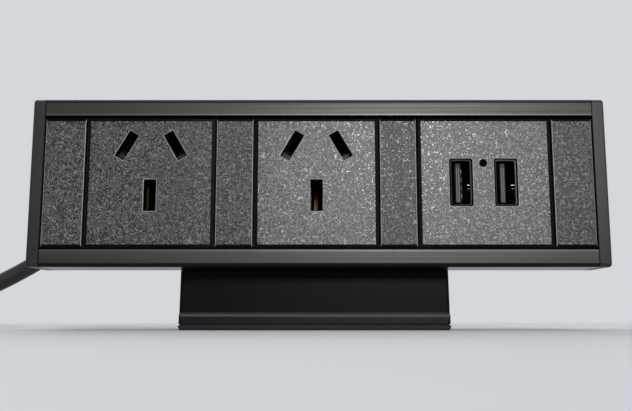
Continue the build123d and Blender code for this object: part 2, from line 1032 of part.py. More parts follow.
def make_strain_relief():
    """The tapered sleeve round the cord where it leaves the gland, grooved so that it can bend."""
    profile = Polygon(
        (0, 0),
        (relief_base_radius, 0),
        (relief_tip_radius, relief_length),
        (0, relief_length),
        align=None,
    )
    for number in range(relief_rings):
        start = relief_first_groove + number * relief_ring_pitch
        radius = relief_base_radius - relief_groove - (
            relief_base_radius - relief_tip_radius
        ) * (start / relief_length)
        profile -= rectangle(
            radius, relief_base_radius + 1, start, start + relief_ring_pitch - relief_ring_width
        )
    body = revolve(profile, Axis.Y)
    return Pos(gland_x, relief_start, middle_z) * body


def arc_radii(points):
    """Radius at each inner point: 0.45 of the shorter run over the tangent of half the turn."""
    radii = []
    for before, here, after in zip(points, points[1:], points[2:]):
        run_in = Vector(*here) - Vector(*before)
        run_out = Vector(*after) - Vector(*here)
        bend = run_in.get_angle(run_out)
        radii.append(0.45 * min(run_in.length, run_out.length) / tan(radians(bend) / 2))
    return radii


def round_tube(path, section):
    """A section swept along a path, square to the path's start."""
    start = Plane(origin=path @ 0, z_dir=path % 0)
    return sweep(start * section, path=path)


def spot(centre, radius, angle, z):
    """A point on a level circle."""
    return Vector(
        centre[0] + radius * cos(radians(angle)), centre[1] + radius * sin(radians(angle)), z
    )


cord_section = RegularPolygon(cord_diameter / 2, cord_sides, major_radius=True)
coil_z = cord_diameter / 2
relief_exit = Vector(gland_x, relief_end, middle_z)
route = [relief_exit] + [Vector(*point) for point in cord_route]


def coil_radius():
    """Outer radius at which the half turns add up to the cord's length less its free parts."""
    free = sum((b - a).length for a, b in zip(route, route[1:])) + 2 * coil_approach
    wound = cord_length - free - tail_drop_length - 2 * cord_diameter
    last_share = last_turn / 180
    halves = floor_half_turns + 1 + top_half_turns + last_share
    steps = sum(range(floor_half_turns)) + floor_half_turns
    steps += sum(floor_half_turns - number for number in range(1, top_half_turns + 1))
    steps += last_share * (floor_half_turns - top_half_turns - 1)
    return (wound / pi + steps * coil_pitch / 2) / halves


def coil_path():
    """Half turns that spiral in on the desk, climb one layer on the innermost, and spiral out."""
    radius = coil_radius()
    centre = coil_centre
    angle = coil_start_angle
    z = coil_z
    first = spot(centre, radius, angle, z)
    lead = Vector(sin(radians(angle)), -cos(radians(angle)), 0)
    edges = [Line(first + lead * cord_diameter, first)]
    total = floor_half_turns + 1 + top_half_turns
    for number in range(total):
        rising = number == floor_half_turns
        start = spot(centre, radius, angle, z)
        middle = spot(centre, radius, angle + 90, z)
        end = spot(centre, radius, angle + 180, z)
        if rising:
            end.Z = z + coil_layer
            reach = (end - start).length / 2
            middle = (start + end) * 0.5 + (middle - spot(centre, 0, 0, z)).normalized() * reach
            z += coil_layer
        edges.append(ThreePointArc(start, middle, end))
        angle += 180
        step = -coil_pitch / 2 if number < floor_half_turns else coil_pitch / 2
        centre = tuple(spot(centre, -step, angle, 0))[:2]
        radius += step
    start = spot(centre, radius, angle, z)
    middle = spot(centre, radius, angle + last_turn / 2, z)
    angle += last_turn
    last = spot(centre, radius, angle, z)
    edges.append(ThreePointArc(start, middle, last))
    onward = Vector(-sin(radians(angle)), cos(radians(angle)), 0)
    edges.append(Line(last, last + onward * cord_diameter))
    return Wire(edges), first + lead * cord_diameter, last + onward * cord_diameter, onward


coil_wire, coil_start, coil_end, coil_heading = coil_path()
route += [coil_start - (coil_wire % 0) * coil_approach, coil_start]


def least_gap(wire, diameter):
    """Least clear distance between parts of a wound cord more than four diameters apart on it."""
    count = int(wire.length / 3)
    points = [wire @ (number / count) for number in range(count + 1)]
    skip = int(4 * diameter / 3)
    least = None
    for number, point in enumerate(points):
        for other in points[number + skip:]:
            gap = (other - point).length - diameter
            least = gap if least is None else min(least, gap)
    return least


def make_coil():
    """The wound cord, one unbroken tube with flat sides."""
    across = RegularPolygon(cord_diameter / 2, wound_cord_sides, major_radius=True)
    return round_tube(coil_wire, across)


def make_power_cord():
    path = FilletPolyline(*route, radius=arc_radii(route))
    return round_tube(path, cord_section), path


plug_axis_z = plug_height / 2
side_heading = Vector(-coil_heading.Y, coil_heading.X, 0)


def tail_route():
    """The last stretch, from the top of the wound cord out and down to the plug's boot."""
    rise = plug_axis_z - coil_end.Z
    points = []
    for share, lift in ((0, 0), (1 / 3, 0), (2 / 3, 1), (1, 1)):
        along = coil_end + coil_heading * (tail_drop_length * share)
        points.append(Vector(along.X, along.Y, coil_end.Z + rise * lift))
    return points


def make_cord_tail():
    points = tail_route()
    path = FilletPolyline(*points, radius=arc_radii(points))
    return round_tube(path, cord_section), path


def plug_plane(distance):
    """A plane square to the plug's axis, a distance along it, with X level and Y up."""
    end = tail_route()[-1] + coil_heading * distance
    return Plane(origin=end, x_dir=-side_heading, z_dir=coil_heading)


def make_plug_body():
    """The moulded plug: a grooved boot, a shoulder and a body with a flat pin face."""
    start = plug_boot_length
    boot = Cylinder(
        plug_boot_radius, plug_boot_length, align=(Align.CENTER, Align.CENTER, Align.MIN)
    )
    for number in range(boot_rings):
        ring = Cylinder(plug_boot_radius + 1, boot_ring_width)
        ring -= Cylinder(plug_boot_radius - boot_ring_depth, boot_ring_width)
        boot -= Pos(0, 0, boot_ring_start + number * boot_ring_pitch) * ring
    body = plug_plane(0).location * boot
    shoulder = plug_length * plug_shoulder_share
    neck = plug_plane(start) * RectangleRounded(
        plug_base_width, plug_neck_height, plug_neck_corner
    )
    wide = plug_plane(start + shoulder) * RectangleRounded(plug_width, plug_height, plug_corner)
    body += loft([neck, wide], ruled=True)
    full = plug_plane(start + shoulder) * RectangleRounded(plug_width, plug_height, plug_corner)
    body += extrude(full, amount=plug_length - shoulder, dir=tuple(coil_heading))
    return body


def make_plug_pins():
    """Three flat pins: two lean towards each other above, and the longer earth pin is below."""
    face = plug_plane(plug_boot_length + plug_length).location
    pieces = []
    for side in (-1, 1):
        pin = Pos(side * plug_pin_half_spread, plug_pin_rise, 0) * Rot(0, 0, side * pin_lean)
        bar = Box(
            plug_pin_thickness,
            plug_pin_width,
            plug_pin_length,
            align=(Align.CENTER, Align.CENTER, Align.MIN),
        )
        pieces.append(face * pin * bar)
    earth = Box(
        plug_pin_thickness,
        plug_pin_width,
        plug_earth_length,
        align=(Align.CENTER, Align.CENTER, Align.MIN),
    )
    pieces.append(face * Pos(0, plug_pin_rise - plug_pin_drop, 0) * earth)
    return pieces


base_bottom = pad_thickness + pad_riser
base_top = base_bottom + base_thickness
base_front = front_y + base_front_inset
base_back = rear_y + base_overhang
base_middle = (base_front + base_back) / 2
base_depth = base_back - base_front
neck_front = front_y + neck_front_inset
neck_back = neck_front + neck_depth
neck_middle = (neck_front + neck_back) / 2


def screw_places():
    return [neck_shift + side * column_spread / 2 for side in (-1, 1)]


def make_stand_pad():
    """The rubber pad under the base, with a narrower upper part that leaves a shadow line."""
    place = Pos(neck_shift, base_middle)
    foot = RectangleRounded(base_width - 2 * pad_inset, base_depth - 2 * pad_inset, base_corner)
    body = along_z(place * foot, 0, pad_thickness)
    body = chamfer(body.faces().sort_by(Axis.Z)[0].edges(), pad_edge)
    riser = RectangleRounded(
        base_width - 2 * pad_riser_inset, base_depth - 2 * pad_riser_inset, base_corner
    )
    return body + along_z(place * riser, pad_thickness - 0.1, base_bottom)


def make_stand_base():
    """The base plate, rounded along its front and back edges, with countersunk holes from below."""
    left = neck_shift - base_width / 2
    section = rectangle(base_front, base_back, base_bottom, base_top)
    section = fillet(section.vertices().group_by(Axis.Y)[-1], base_edge)
    place = Pos(neck_shift, base_middle)
    outline = place * RectangleRounded(base_width, base_depth, base_corner)
    body = along_x(section, left, left + base_width) & along_z(outline, base_bottom, base_top)
    for x in screw_places():
        hole = Pos(x, slot_y) * Circle(stand_screw_radius + stand_screw_clearance)
        body -= along_z(hole, base_bottom - 1, base_top + 1)
        sink = Pos(x, slot_y, base_bottom + stand_screw_head_height / 2)
        body -= sink * Cone(
            stand_screw_head_radius + stand_screw_clearance,
            stand_screw_radius + stand_screw_clearance,
            stand_screw_head_height,
        )
    return body


def make_stand_neck():
    """A hollow drafted moulding, as wide as the base, whose top follows the housing's underside."""
    place = Pos(neck_shift, neck_middle)
    foot = place * RectangleRounded(base_width, neck_depth, neck_corner)
    reach = underside_z(neck_back) - base_top + 2
    outer = extrude(Plane.XY.offset(base_top) * foot, amount=reach, taper=neck_draft)
    span = base_width / 2 + abs(neck_shift) + 5
    outer -= along_x(housing_outline(-saddle_clearance), -span, span)
    inner_foot = place * Rectangle(base_width - 2 * neck_wall, neck_depth - 2 * neck_wall)
    hollow = extrude(
        Plane.XY.offset(base_top - 0.1) * inner_foot, amount=reach, taper=neck_draft
    )
    hollow -= along_x(housing_outline(-saddle_clearance - neck_wall), -span, span)
    for x in screw_places():
        hollow -= along_z(Pos(x, slot_y) * Circle(column_radius), 0, top_z)
    for number in (-1, 0, 1):
        x = neck_shift + number * neck_rib_pitch
        hollow -= block(x - neck_rib / 2, x + neck_rib / 2, neck_front, neck_back, 0, top_z)
    body = outer - hollow
    for x in screw_places():
        hole = Pos(x, slot_y) * Circle(stand_screw_radius + stand_screw_clearance)
        body -= along_z(hole, base_top - 1, top_z)
    return body


nut_top = slot_roof - nut_side_clearance
nut_bottom = slot_roof - slot_height


def make_stand_nuts():
    """Square nuts that slide in the housing's slot."""
    pieces = []
    half = slot_width / 2 - nut_side_clearance
    for x in screw_places():
        nut = block(
            x - nut_length / 2, x + nut_length / 2, slot_y - half, slot_y + half, nut_bottom, nut_top
        )
        bore = Pos(x, slot_y) * Circle(stand_screw_radius + thread_play)
        pieces.append(nut - along_z(bore, 0, top_z))
    return pieces


def make_stand_screws():
    """Two countersunk screws from below the base, through the neck and into the nuts."""
    length = nut_top - screw_end_gap - base_bottom
    screw = countersunk_screw(
        stand_screw_radius, length, stand_screw_head_radius, stand_screw_head_height
    )
    return [
        Pos(x, slot_y, base_bottom + thread_play) * Rot(180, 0, 0) * screw for x in screw_places()
    ]


def build_parts():
    """Every piece of the unit by its name."""
    power_cord, cord_path = make_power_cord()
    cord_tail, tail_path = make_cord_tail()
    parts = {
        "housing_extrusion": make_extrusion(),
        "end_cap_left": make_end_cap(-1),
        "end_cap_right": make_end_cap(1),
        "end_cap_screws": make_cap_screws(),
        "charger_face": make_charger_face(),
        "usb_shell_left": make_usb_shell(0),
        "usb_shell_right": make_usb_shell(1),
        "usb_tongue_left": make_usb_tongue(0),
        "usb_tongue_right": make_usb_tongue(1),
        "usb_contacts": make_usb_contacts(),
        "charger_lamp": make_lamp(),
        "charger_board": make_charger_board(),
        "charger_transformer": make_transformer(),
        "charger_capacitor": make_capacitor(),
        "charger_rear_cover": make_charger_cover(),
        "overload_breaker": make_breaker(),
        "breaker_nut": make_breaker_nut(),
        "reset_button": make_reset_button(),
        "socket_screws": make_socket_screws(),
        "cord_gland": make_gland(),
        "gland_nut": make_gland_nut(),
        "strain_relief": make_strain_relief(),
        "power_cord": power_cord,
        "cord_coil": make_coil(),
        "cord_tail": cord_tail,
        "plug_body": make_plug_body(),
        "plug_pins": make_plug_pins(),
        "stand_neck": make_stand_neck(),
        "stand_base": make_stand_base(),
        "stand_pad": make_stand_pad(),
        "stand_screws": make_stand_screws(),
        "stand_nuts": make_stand_nuts(),
    }
    for number in (1, 2, 3, 4):
        panel = f"blank_panel_{number}"
        parts[panel] = make_panel(panel, blank_side_bevel)
    for number in (1, 2):
        panel = f"socket_face_{number}"
        parts[panel] = make_socket_face(panel)
        parts[f"socket_rear_{number}"] = make_socket_rear(panel)
        parts[f"shutter_{number}"] = make_shutter(panel)
        parts[f"shutter_spring_{number}"] = make_shutter_spring(panel)
        for which in pins:
            parts[f"{which}_contact_{number}"] = make_contact(panel, which)
    return parts, cord_path, tail_path


def write_parts():
    parts, cord_path, tail_path = build_parts()
    os.makedirs("parts", exist_ok=True)
    for name, shape in parts.items():
        solids = list(shape) if isinstance(shape, list) else list(shape.solids())
        solids = [solid for piece in solids for solid in piece.solids()]
        whole = solids[0] if len(solids) == 1 else Compound(children=solids)
        export_step(whole, f"parts/{name}.step")
    area = pi * cord_diameter**2 / 4
    for name, points, path in (
        ("power_cord", route, cord_path),
        ("cord_tail", tail_route(), tail_path),
    ):
        volume = parts[name].volume
        print(name, "radii", [round(radius, 1) for radius in arc_radii(points)])
        print(name, "runs", [round((b - a).length, 1) for a, b in zip(points, points[1:])])
        print(name, "length", round(path.length, 1), "volume share", round(volume / area / path.length, 4))
    print("coil length", round(coil_wire.length, 1), "outer radius", round(coil_radius(), 2))
    print("coil least gap", round(least_gap(coil_wire, cord_diameter), 3))
    print("coil start", coil_start, "coil end", coil_end, "heading", coil_heading)
    whole_cord = cord_path.length + tail_path.length + coil_wire.length
    print("whole cord", round(whole_cord, 1))


write_parts()
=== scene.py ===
from math import cos, pi, radians, sin

import bmesh
import bpy
import numpy as np
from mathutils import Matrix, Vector


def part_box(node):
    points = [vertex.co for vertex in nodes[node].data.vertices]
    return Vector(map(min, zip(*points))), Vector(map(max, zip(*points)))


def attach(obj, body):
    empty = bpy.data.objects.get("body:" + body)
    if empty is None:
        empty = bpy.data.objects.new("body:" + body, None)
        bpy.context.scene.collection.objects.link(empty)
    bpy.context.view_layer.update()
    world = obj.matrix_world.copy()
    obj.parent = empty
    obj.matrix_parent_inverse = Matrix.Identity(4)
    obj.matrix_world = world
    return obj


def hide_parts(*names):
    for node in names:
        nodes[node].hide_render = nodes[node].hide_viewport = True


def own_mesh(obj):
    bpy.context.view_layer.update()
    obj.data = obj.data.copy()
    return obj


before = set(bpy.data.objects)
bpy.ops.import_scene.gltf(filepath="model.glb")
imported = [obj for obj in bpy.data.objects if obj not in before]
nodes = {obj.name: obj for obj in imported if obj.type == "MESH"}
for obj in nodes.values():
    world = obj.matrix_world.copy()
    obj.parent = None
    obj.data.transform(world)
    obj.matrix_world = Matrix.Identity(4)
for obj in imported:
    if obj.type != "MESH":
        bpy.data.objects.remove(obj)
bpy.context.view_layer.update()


# The camera stands just above the desk, 21 cm in front of the panels, and looks slightly upwards,
# so that the housing's front looks wider towards its lower edge. Here and below, sizes are in
# millimetres and angles in degrees. The desk, the lamps and the cord's length are in metres.
mm = 0.001
image_width = 632
focal_pixels = 760.0
sensor_width = 36.0
nearest_seen = 10.0
eye = Vector((-0.777, -234.07, 3.607)) * mm
upward_tilt = 8.381

camera_data = bpy.data.cameras.new("photo_camera")
camera_data.sensor_width = sensor_width
camera_data.lens = sensor_width * focal_pixels / image_width
camera_data.clip_start = nearest_seen * mm
camera = bpy.data.objects.new("photo_camera", camera_data)
bpy.context.scene.collection.objects.link(camera)
camera.location = eye
camera.rotation_euler = (radians(90 + upward_tilt), 0, 0)
bpy.context.scene.camera = camera
bpy.context.scene.view_settings.view_transform = "Standard"


# The desk is a wide plain pale sheet. Far from the unit it takes the colour of the room behind it,
# and so it has no visible end. Soft lamps stand in front, above and behind, and a slim one at the
# front right draws a fine line along the edges that face it.
desk_half = 6.0
desk_colour = (0.56, 0.58, 0.61)
desk_roughness = 0.7
desk_gloss = 0.25
haze_start = 0.20
haze_end = 0.40
room_light = 0.36
room_seen = (0.66, 0.68, 0.71)
unit_middle = (0.0, 0.0, 0.04)
# Each lamp's name, place, width and height, and power in watts.
lamps = [
    ("front_lamp", (0.135, -1.10, 0.32), (0.20, 0.20), 6.8),
    ("side_lamp", (0.62, -1.00, 0.42), (0.10, 0.50), 1.2),
    ("top_lamp", (0.05, -0.20, 1.30), (1.20, 0.90), 6.0),
    ("back_lamp", (-0.30, 0.95, 0.95), (1.40, 0.70), 6.0),
]


class Wire:
    """An output of a shader node, on which sums are written as Python expressions."""

    def __init__(self, finish, socket):
        self.finish = finish
        self.socket = socket

    def sum(self, operation, first, second):
        """A Math node on two wires, or on a wire and a number."""
        return self.finish.node("Math", {"operation": operation}, {0: first, 1: second})

    def __add__(self, other):
        return self.sum("ADD", self, other)

    def __sub__(self, other):
        return self.sum("SUBTRACT", self, other)

    def __rsub__(self, other):
        return self.sum("SUBTRACT", other, self)

    def __mul__(self, other):
        return self.sum("MULTIPLY", self, other)

    __radd__ = __add__
    __rmul__ = __mul__


class Finish:
    """A material with one Principled surface. Where nodes vary its colour, its roughness or its
    metal, they take the place of the plain value given here. Gloss is its specular level."""

    def __init__(self, name, colour, roughness, metallic=0.0, gloss=0.5):
        self.material = bpy.data.materials.new(name)
        self.material.use_nodes = True
        self.tree = self.material.node_tree
        self.surface = self.tree.nodes["Principled BSDF"]
        self.put("Base Color", (*colour, 1.0))
        self.put("Roughness", roughness)
        self.put("Metallic", metallic)
        self.put("Specular IOR Level", gloss)

    def put(self, socket, value):
        """A number, a colour or a wire into one of the surface's sockets."""
        if isinstance(value, Wire):
            self.tree.links.new(value.socket, self.surface.inputs[socket])
        else:
            self.surface.inputs[socket].default_value = value

    def node(self, kind, settings, sockets, output=0):
        """Any other node: its settings are made first, then its sockets are filled or linked."""
        made = self.tree.nodes.new("ShaderNode" + kind)
        for name, value in settings.items():
            setattr(made, name, value)
        for key, value in sockets.items():
            if isinstance(value, Wire):
                self.tree.links.new(value.socket, made.inputs[key])
            else:
                made.inputs[key].default_value = value
        return Wire(self, made.outputs[output])

    def here(self):
        """Object coordinates, in metres."""
        return self.node("TexCoord", {}, {}, "Object")

    def along(self, axis):
        """The place along X, Y or Z."""
        return self.node("SeparateXYZ", {}, {"Vector": self.here()}, axis)

    def noise(self, size, detail=2.0, stretch=(1.0, 1.0, 1.0), distort=0.0):
        """Cloudy noise from 0 to 1 whose features are about size millimetres across."""
        scale = tuple(share / (size * mm) for share in stretch)
        where = self.node("Mapping", {}, {"Vector": self.here(), "Scale": scale})
        sockets = {"Vector": where, "Scale": 1.0, "Detail": detail, "Distortion": distort}
        return self.node("TexNoise", {}, sockets, "Fac")

    def ramp(self, value, low, high, start=0.0, end=1.0):
        """A value carried from low..high to start..end, and held there outside."""
        sockets = {"Value": value, 1: low, 2: high, 3: start, 4: end}
        return self.node("MapRange", {"clamp": True}, sockets)

    def greater(self, first, second):
        """The greater of two values."""
        return self.node("Math", {"operation": "MAXIMUM"}, {0: first, 1: second})

    def distance(self, value, middle):
        """How far a value is from a middle one."""
        return self.node("Math", {"operation": "ABSOLUTE"}, {0: value - middle})

    def mix(self, share, first, second):
        """Two colours, or wires that carry colours, mixed by a share."""
        ends = [end if isinstance(end, Wire) else (*end, 1.0) for end in (first, second)]
        return self.node("Mix", {"data_type": "RGBA"}, {0: share, 6: ends[0], 7: ends[1]}, 2)

    def relief(self, height, depth, strength=0.5):
        """Surface relief: a height of 1 stands depth millimetres above a height of 0."""
        sockets = {"Height": height, "Distance": depth * mm, "Strength": strength}
        self.put("Normal", self.node("Bump", {}, sockets))


def seen_directly(tree):
    """1 for the rays that show the room itself: the camera's, and those of gloss and glass."""
    path = tree.nodes.new("ShaderNodeLightPath")
    shares = [path.outputs[f"Is {kind} Ray"] for kind in ("Camera", "Glossy", "Transmission")]
    whole = shares[0]
    for share in shares[1:]:
        either = tree.nodes.new("ShaderNodeMath")
        either.operation = "MAXIMUM"
        tree.links.new(whole, either.inputs[0])
        tree.links.new(share, either.inputs[1])
        whole = either.outputs[0]
    return whole


def blended(tree, share, first, second, output):
    """Two shaders mixed by a share, as what a tree's output node shows."""
    blend = tree.nodes.new("ShaderNodeMixShader")
    for source, socket in zip((share, first, second), blend.inputs):
        tree.links.new(source, socket)
    tree.links.new(blend.outputs[0], tree.nodes[output].inputs["Surface"])


room = bpy.data.worlds.new("room")
room.use_nodes = True
bpy.context.scene.world = room
room_tree = room.node_tree
lit = room_tree.nodes["Background"]
lit.inputs["Color"].default_value = (1.0, 1.0, 1.0, 1.0)
lit.inputs["Strength"].default_value = room_light
seen = room_tree.nodes.new("ShaderNodeBackground")
seen.inputs["Color"].default_value = (*room_seen, 1.0)
blended(room_tree, seen_directly(room_tree), lit.outputs[0], seen.outputs[0], "World Output")

corners = [(x * desk_half, y * desk_half, 0.0) for x, y in ((-1, -1), (1, -1), (1, 1), (-1, 1))]
desk_mesh = bpy.data.meshes.new("desk")
desk_mesh.from_pydata(corners, [], [(0, 1, 2, 3)])
desk = bpy.data.objects.new("desk", desk_mesh)
bpy.context.scene.collection.objects.link(desk)
desk_paint = Finish("desk_paint", desk_colour, desk_roughness, gloss=desk_gloss)
how_far = desk_paint.node("VectorMath", {"operation": "LENGTH"}, {0: desk_paint.here()}, "Value")
haze = desk_paint.node("Emission", {}, {"Color": (*room_seen, 1.0)})
hazy = desk_paint.ramp(how_far, haze_start, haze_end)
hazy = hazy * Wire(desk_paint, seen_directly(desk_paint.tree))
surface = desk_paint.surface.outputs[0]
blended(desk_paint.tree, hazy.socket, surface, haze.socket, "Material Output")
desk.data.materials.append(desk_paint.material)

for name, spot, size, power in lamps:
    lamp = bpy.data.lights.new(name, "AREA")
    lamp.shape = "RECTANGLE"
    lamp.size, lamp.size_y = size
    lamp.energy = power
    holder = bpy.data.objects.new(name, lamp)
    bpy.context.scene.collection.objects.link(holder)
    holder.location = spot
    holder.rotation_mode = "QUATERNION"
    holder.rotation_quaternion = (Vector(unit_middle) - Vector(spot)).to_track_quat("-Z", "Y")


# The mains lead is a round three-core cord with a satin black sheath. It leaves the strain relief
# at the back, bends round behind the left end, comes down on to the desk and is wound there in
# two layers of turns, from which a short tail leads out to the plug.
cord_diameter = 7.0
coil_centre = (-181.5, 38.7)
coil_start_angle = 98.0
coil_radius = 49.31
coil_pitch = 7.55
coil_layer = 7.5
floor_half_turns = 6
top_half_turns = 5
last_turn = 150.0
coil_approach = 12.5
tail_length = 39.0
plug_axis_height = 14.0
# How far along the tail each of its points stands, and how far up towards the plug.
tail_steps = ((1 / 3, 0.0), (2 / 3, 1.0), (1.0, 1.0))
points_per_half_turn = 12
steps_per_point = 6
steps_round_sheath = 7
sheath_tones = (0.011, 0.011, 0.012), (0.019, 0.019, 0.019)
cord_route = [
    (-62.0, 43.0, 41.35),
    (-62.0, 54.5, 41.35),
    (-66.3, 70.1, 40.6),
    (-76.5, 83.4, 39.5),
    (-93.1, 92.7, 38.4),
    (-108.9, 95.2, 35.1),
    (-129.3, 95.5, 22.3),
    (-148.3, 93.1, 12.7),
    (-158.0, 92.4, 6.7),
]


def level(angle):
    """The level unit vector at an angle."""
    return np.array((cos(radians(angle)), sin(radians(angle)), 0.0))


def wound_points():
    """Control points of the wound turns: on each half turn they stand on a circle that is wider
    than the half turn by one over the cosine of half their step, so the smooth line between
    them keeps the half turn's own radius. Centre and radius change by half a pitch each time."""
    step = 180.0 / points_per_half_turn
    wider = 1 / cos(radians(step / 2))
    centre = np.array((*coil_centre, cord_diameter / 2))
    radius = coil_radius
    angle = coil_start_angle
    points = []
    for number in range(floor_half_turns + 1 + top_half_turns):
        climb = coil_layer if number == floor_half_turns else 0.0
        for place in range(points_per_half_turn):
            turned = step * (place + 0.5)
            lift = climb * (1 - cos(radians(turned))) / 2
            points.append(centre + radius * wider * level(angle + turned) + (0, 0, lift))
        angle += 180
        change = -coil_pitch / 2 if number < floor_half_turns else coil_pitch / 2
        centre = centre - change * level(angle) + (0, 0, climb)
        radius += change
    for place in range(int(last_turn / step)):
        points.append(centre + radius * wider * level(angle + step * (place + 0.5)))
    return points, centre + radius * level(angle + last_turn), level(angle + last_turn + 90)


turns, turns_end, tail_heading = wound_points()
turns_start = np.array((*coil_centre, cord_diameter / 2)) + coil_radius * level(coil_start_angle)
start_heading = level(coil_start_angle - 90)
lead_in = turns_start + start_heading * cord_diameter
tail_start = turns_end + tail_heading * cord_diameter
tail_rise = np.array((0.0, 0.0, plug_axis_height - tail_start[2]))
points = [np.array(point) for point in cord_route]
points += [lead_in + start_heading * coil_approach, lead_in]
points += turns
points += [tail_start]
for share, lift in tail_steps:
    points.append(tail_start + tail_heading * (tail_length * share) + tail_rise * lift)

cord_curve = bpy.data.curves.new("mains_lead", "CURVE")
cord_curve.dimensions = "3D"
cord_curve.bevel_depth = cord_diameter / 2 * mm
cord_curve.bevel_resolution = steps_round_sheath
cord_curve.resolution_u = steps_per_point
cord_curve.use_fill_caps = True
line = cord_curve.splines.new("NURBS")
line.points.add(len(points) - 1)
line.points.foreach_set("co", np.array([(*(point * mm), 1.0) for point in points]).ravel())
line.order_u = 3
line.use_endpoint_u = True
mains_lead = bpy.data.objects.new("mains_lead", cord_curve)
bpy.context.scene.collection.objects.link(mains_lead)

sheath = Finish("sheath_vinyl", (0.014, 0.014, 0.015), 0.42, gloss=0.35)
sheath_haze = sheath.noise(6.0, detail=3.0)
sheath_pores = sheath.noise(0.6)
sheath.put("Base Color", sheath.mix(sheath_haze, *sheath_tones))
sheath.put("Roughness", sheath.ramp(sheath_haze, 0.3, 0.7, 0.34, 0.52))
sheath.relief(sheath_pores, 0.04)
mains_lead.data.materials.append(sheath.material)
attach(mains_lead, "housing")
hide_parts("power_cord", "cord_coil", "cord_tail")


# The housing is one length of extruded aluminium, anodised dark, with two rails at the front that
# hold the panels. The die leaves fine lines along its whole length. Its top is a little duller,
# because dust settles there.
merge_within = 0.002
cut_within = 0.0005
flat_within = 0.4
sharp_edge = 28
housing_edge = 0.18
rail_height = 4.9
corner_radius = 1.2
lip_width = 0.5
front_depth = 1.0
end_width = 0.45
anodised_tones = (0.029, 0.028, 0.026), (0.046, 0.043, 0.038)
die_line_tone = (0.024, 0.024, 0.023)
lip_highlight_tone = (0.09, 0.09, 0.087)
seam_shade_tone = (0.002, 0.002, 0.002)
corner_shade_tone = (0.004, 0.004, 0.004)


def smoothed(node, piece, finish, cuts=(), body="housing", sharpest=sharp_edge):
    """A copy of a node of loose triangles, merged into whole faces and shaded smooth, but for
    edges sharper than a limit. It stands for the node. Each cut is an axis and a place on it in
    millimetres: there the faces part, so that none goes round a hole."""
    mesh = bpy.data.meshes.new(piece)
    work = bmesh.new()
    work.from_mesh(nodes[node].data)
    bmesh.ops.remove_doubles(work, verts=work.verts, dist=merge_within * mm)
    for axis, place in cuts:
        across = Vector([1.0 if number == axis else 0.0 for number in range(3)])
        whole = work.verts[:] + work.edges[:] + work.faces[:]
        parted = bmesh.ops.bisect_plane(
            work, geom=whole, dist=cut_within * mm, plane_co=across * place * mm, plane_no=across
        )
        for part in parted["geom_cut"]:
            if isinstance(part, bmesh.types.BMEdge):
                part.seam = True
    bmesh.ops.dissolve_limit(
        work,
        angle_limit=radians(flat_within),
        verts=work.verts,
        edges=work.edges,
        delimit={"SEAM"},
    )
    bmesh.ops.recalc_face_normals(work, faces=work.faces)
    work.to_mesh(mesh)
    work.free()
    mesh.shade_smooth()
    mesh.set_sharp_from_angle(angle=radians(sharpest))
    mesh.materials.clear()
    mesh.materials.append(finish.material)
    copy = bpy.data.objects.new(piece, mesh)
    bpy.context.scene.collection.objects.link(copy)
    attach(copy, body)
    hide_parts(node)
    return copy


def softened(
    node, piece, finish, edge, cuts=(), body="housing", segments=2, sharpest=sharp_edge
):
    """A smooth copy whose sharp edges are rounded by edge millimetres, as deburring or a mould
    leaves them."""
    copy = smoothed(node, piece, finish, cuts, body, 180)
    round_off = copy.modifiers.new("edge", "BEVEL")
    round_off.width = edge * mm
    round_off.segments = segments
    round_off.limit_method = "ANGLE"
    round_off.angle_limit = radians(sharpest)
    round_off.use_clamp_overlap = False
    round_off.miter_outer = "MITER_ARC"
    even = copy.modifiers.new("normals", "WEIGHTED_NORMAL")
    even.keep_sharp = False
    return copy


housing_low, housing_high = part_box("housing_extrusion")
half_height = (housing_high[2] - housing_low[2]) / 2
lip = half_height - rail_height * mm
corner = half_height - corner_radius * mm
end = housing_high[0] - end_width * mm
front = housing_low[1] + front_depth * mm
bottom, top = housing_low[2], housing_high[2]

anodised = Finish("dark_anodising", (0.050, 0.047, 0.044), 0.42, metallic=0.85)
die_lines = anodised.noise(0.35, detail=3.0, stretch=(0.004, 1.0, 1.0))
wide_lines = anodised.noise(1.1, detail=1.0, stretch=(0.002, 1.0, 1.0))
tint = anodised.noise(30.0, stretch=(0.5, 1.0, 1.0))
from_middle = anodised.distance(anodised.along("Z"), (bottom + top) / 2)
from_lip = anodised.ramp(from_middle, lip, lip + 0.1 * mm)
beyond_lip = anodised.ramp(from_middle, lip + lip_width * mm, lip + 1.3 * lip_width * mm)
on_lip_highlight = from_lip * (1.0 - beyond_lip)
in_front = anodised.ramp(anodised.along("Y"), front, front + 0.4 * mm, 1.0, 0.0)
on_shaded_corner = anodised.ramp(from_middle, corner - 0.1 * mm, corner + 0.1 * mm) * in_front
in_seam_shade = anodised.ramp(anodised.distance(anodised.along("X"), 0.0), end, end + 0.25 * mm)
under = anodised.ramp(anodised.along("Z"), bottom + 0.1 * mm, bottom + 0.3 * mm, 1.0, 0.0)
over = anodised.ramp(anodised.along("Z"), top - 0.3 * mm, top - 0.1 * mm)
tone = anodised.mix(tint, *anodised_tones)
tone = anodised.mix(anodised.ramp(wide_lines, 0.35, 0.65, 0.0, 0.6), tone, die_line_tone)
# The lip of each rail is painted lighter: a painted highlight.
tone = anodised.mix(on_lip_highlight * 0.5, tone, lip_highlight_tone)
# The extrusion's last half millimetre against each end cap is painted almost black: painted shade
# in the seam.
tone = anodised.mix(in_seam_shade, tone, seam_shade_tone)
# The rounded front corners are painted darker: painted shade.
anodised.put("Base Color", anodised.mix(on_shaded_corner * 0.68, tone, corner_shade_tone))
die_gloss = anodised.ramp(die_lines, 0.25, 0.75, 0.34, 0.48)
anodised.put("Roughness", die_gloss - under * 0.16 + over * 0.18)
anodised.relief(die_lines, 0.02, 0.6)
softened("housing_extrusion", "housing", anodised, housing_edge)


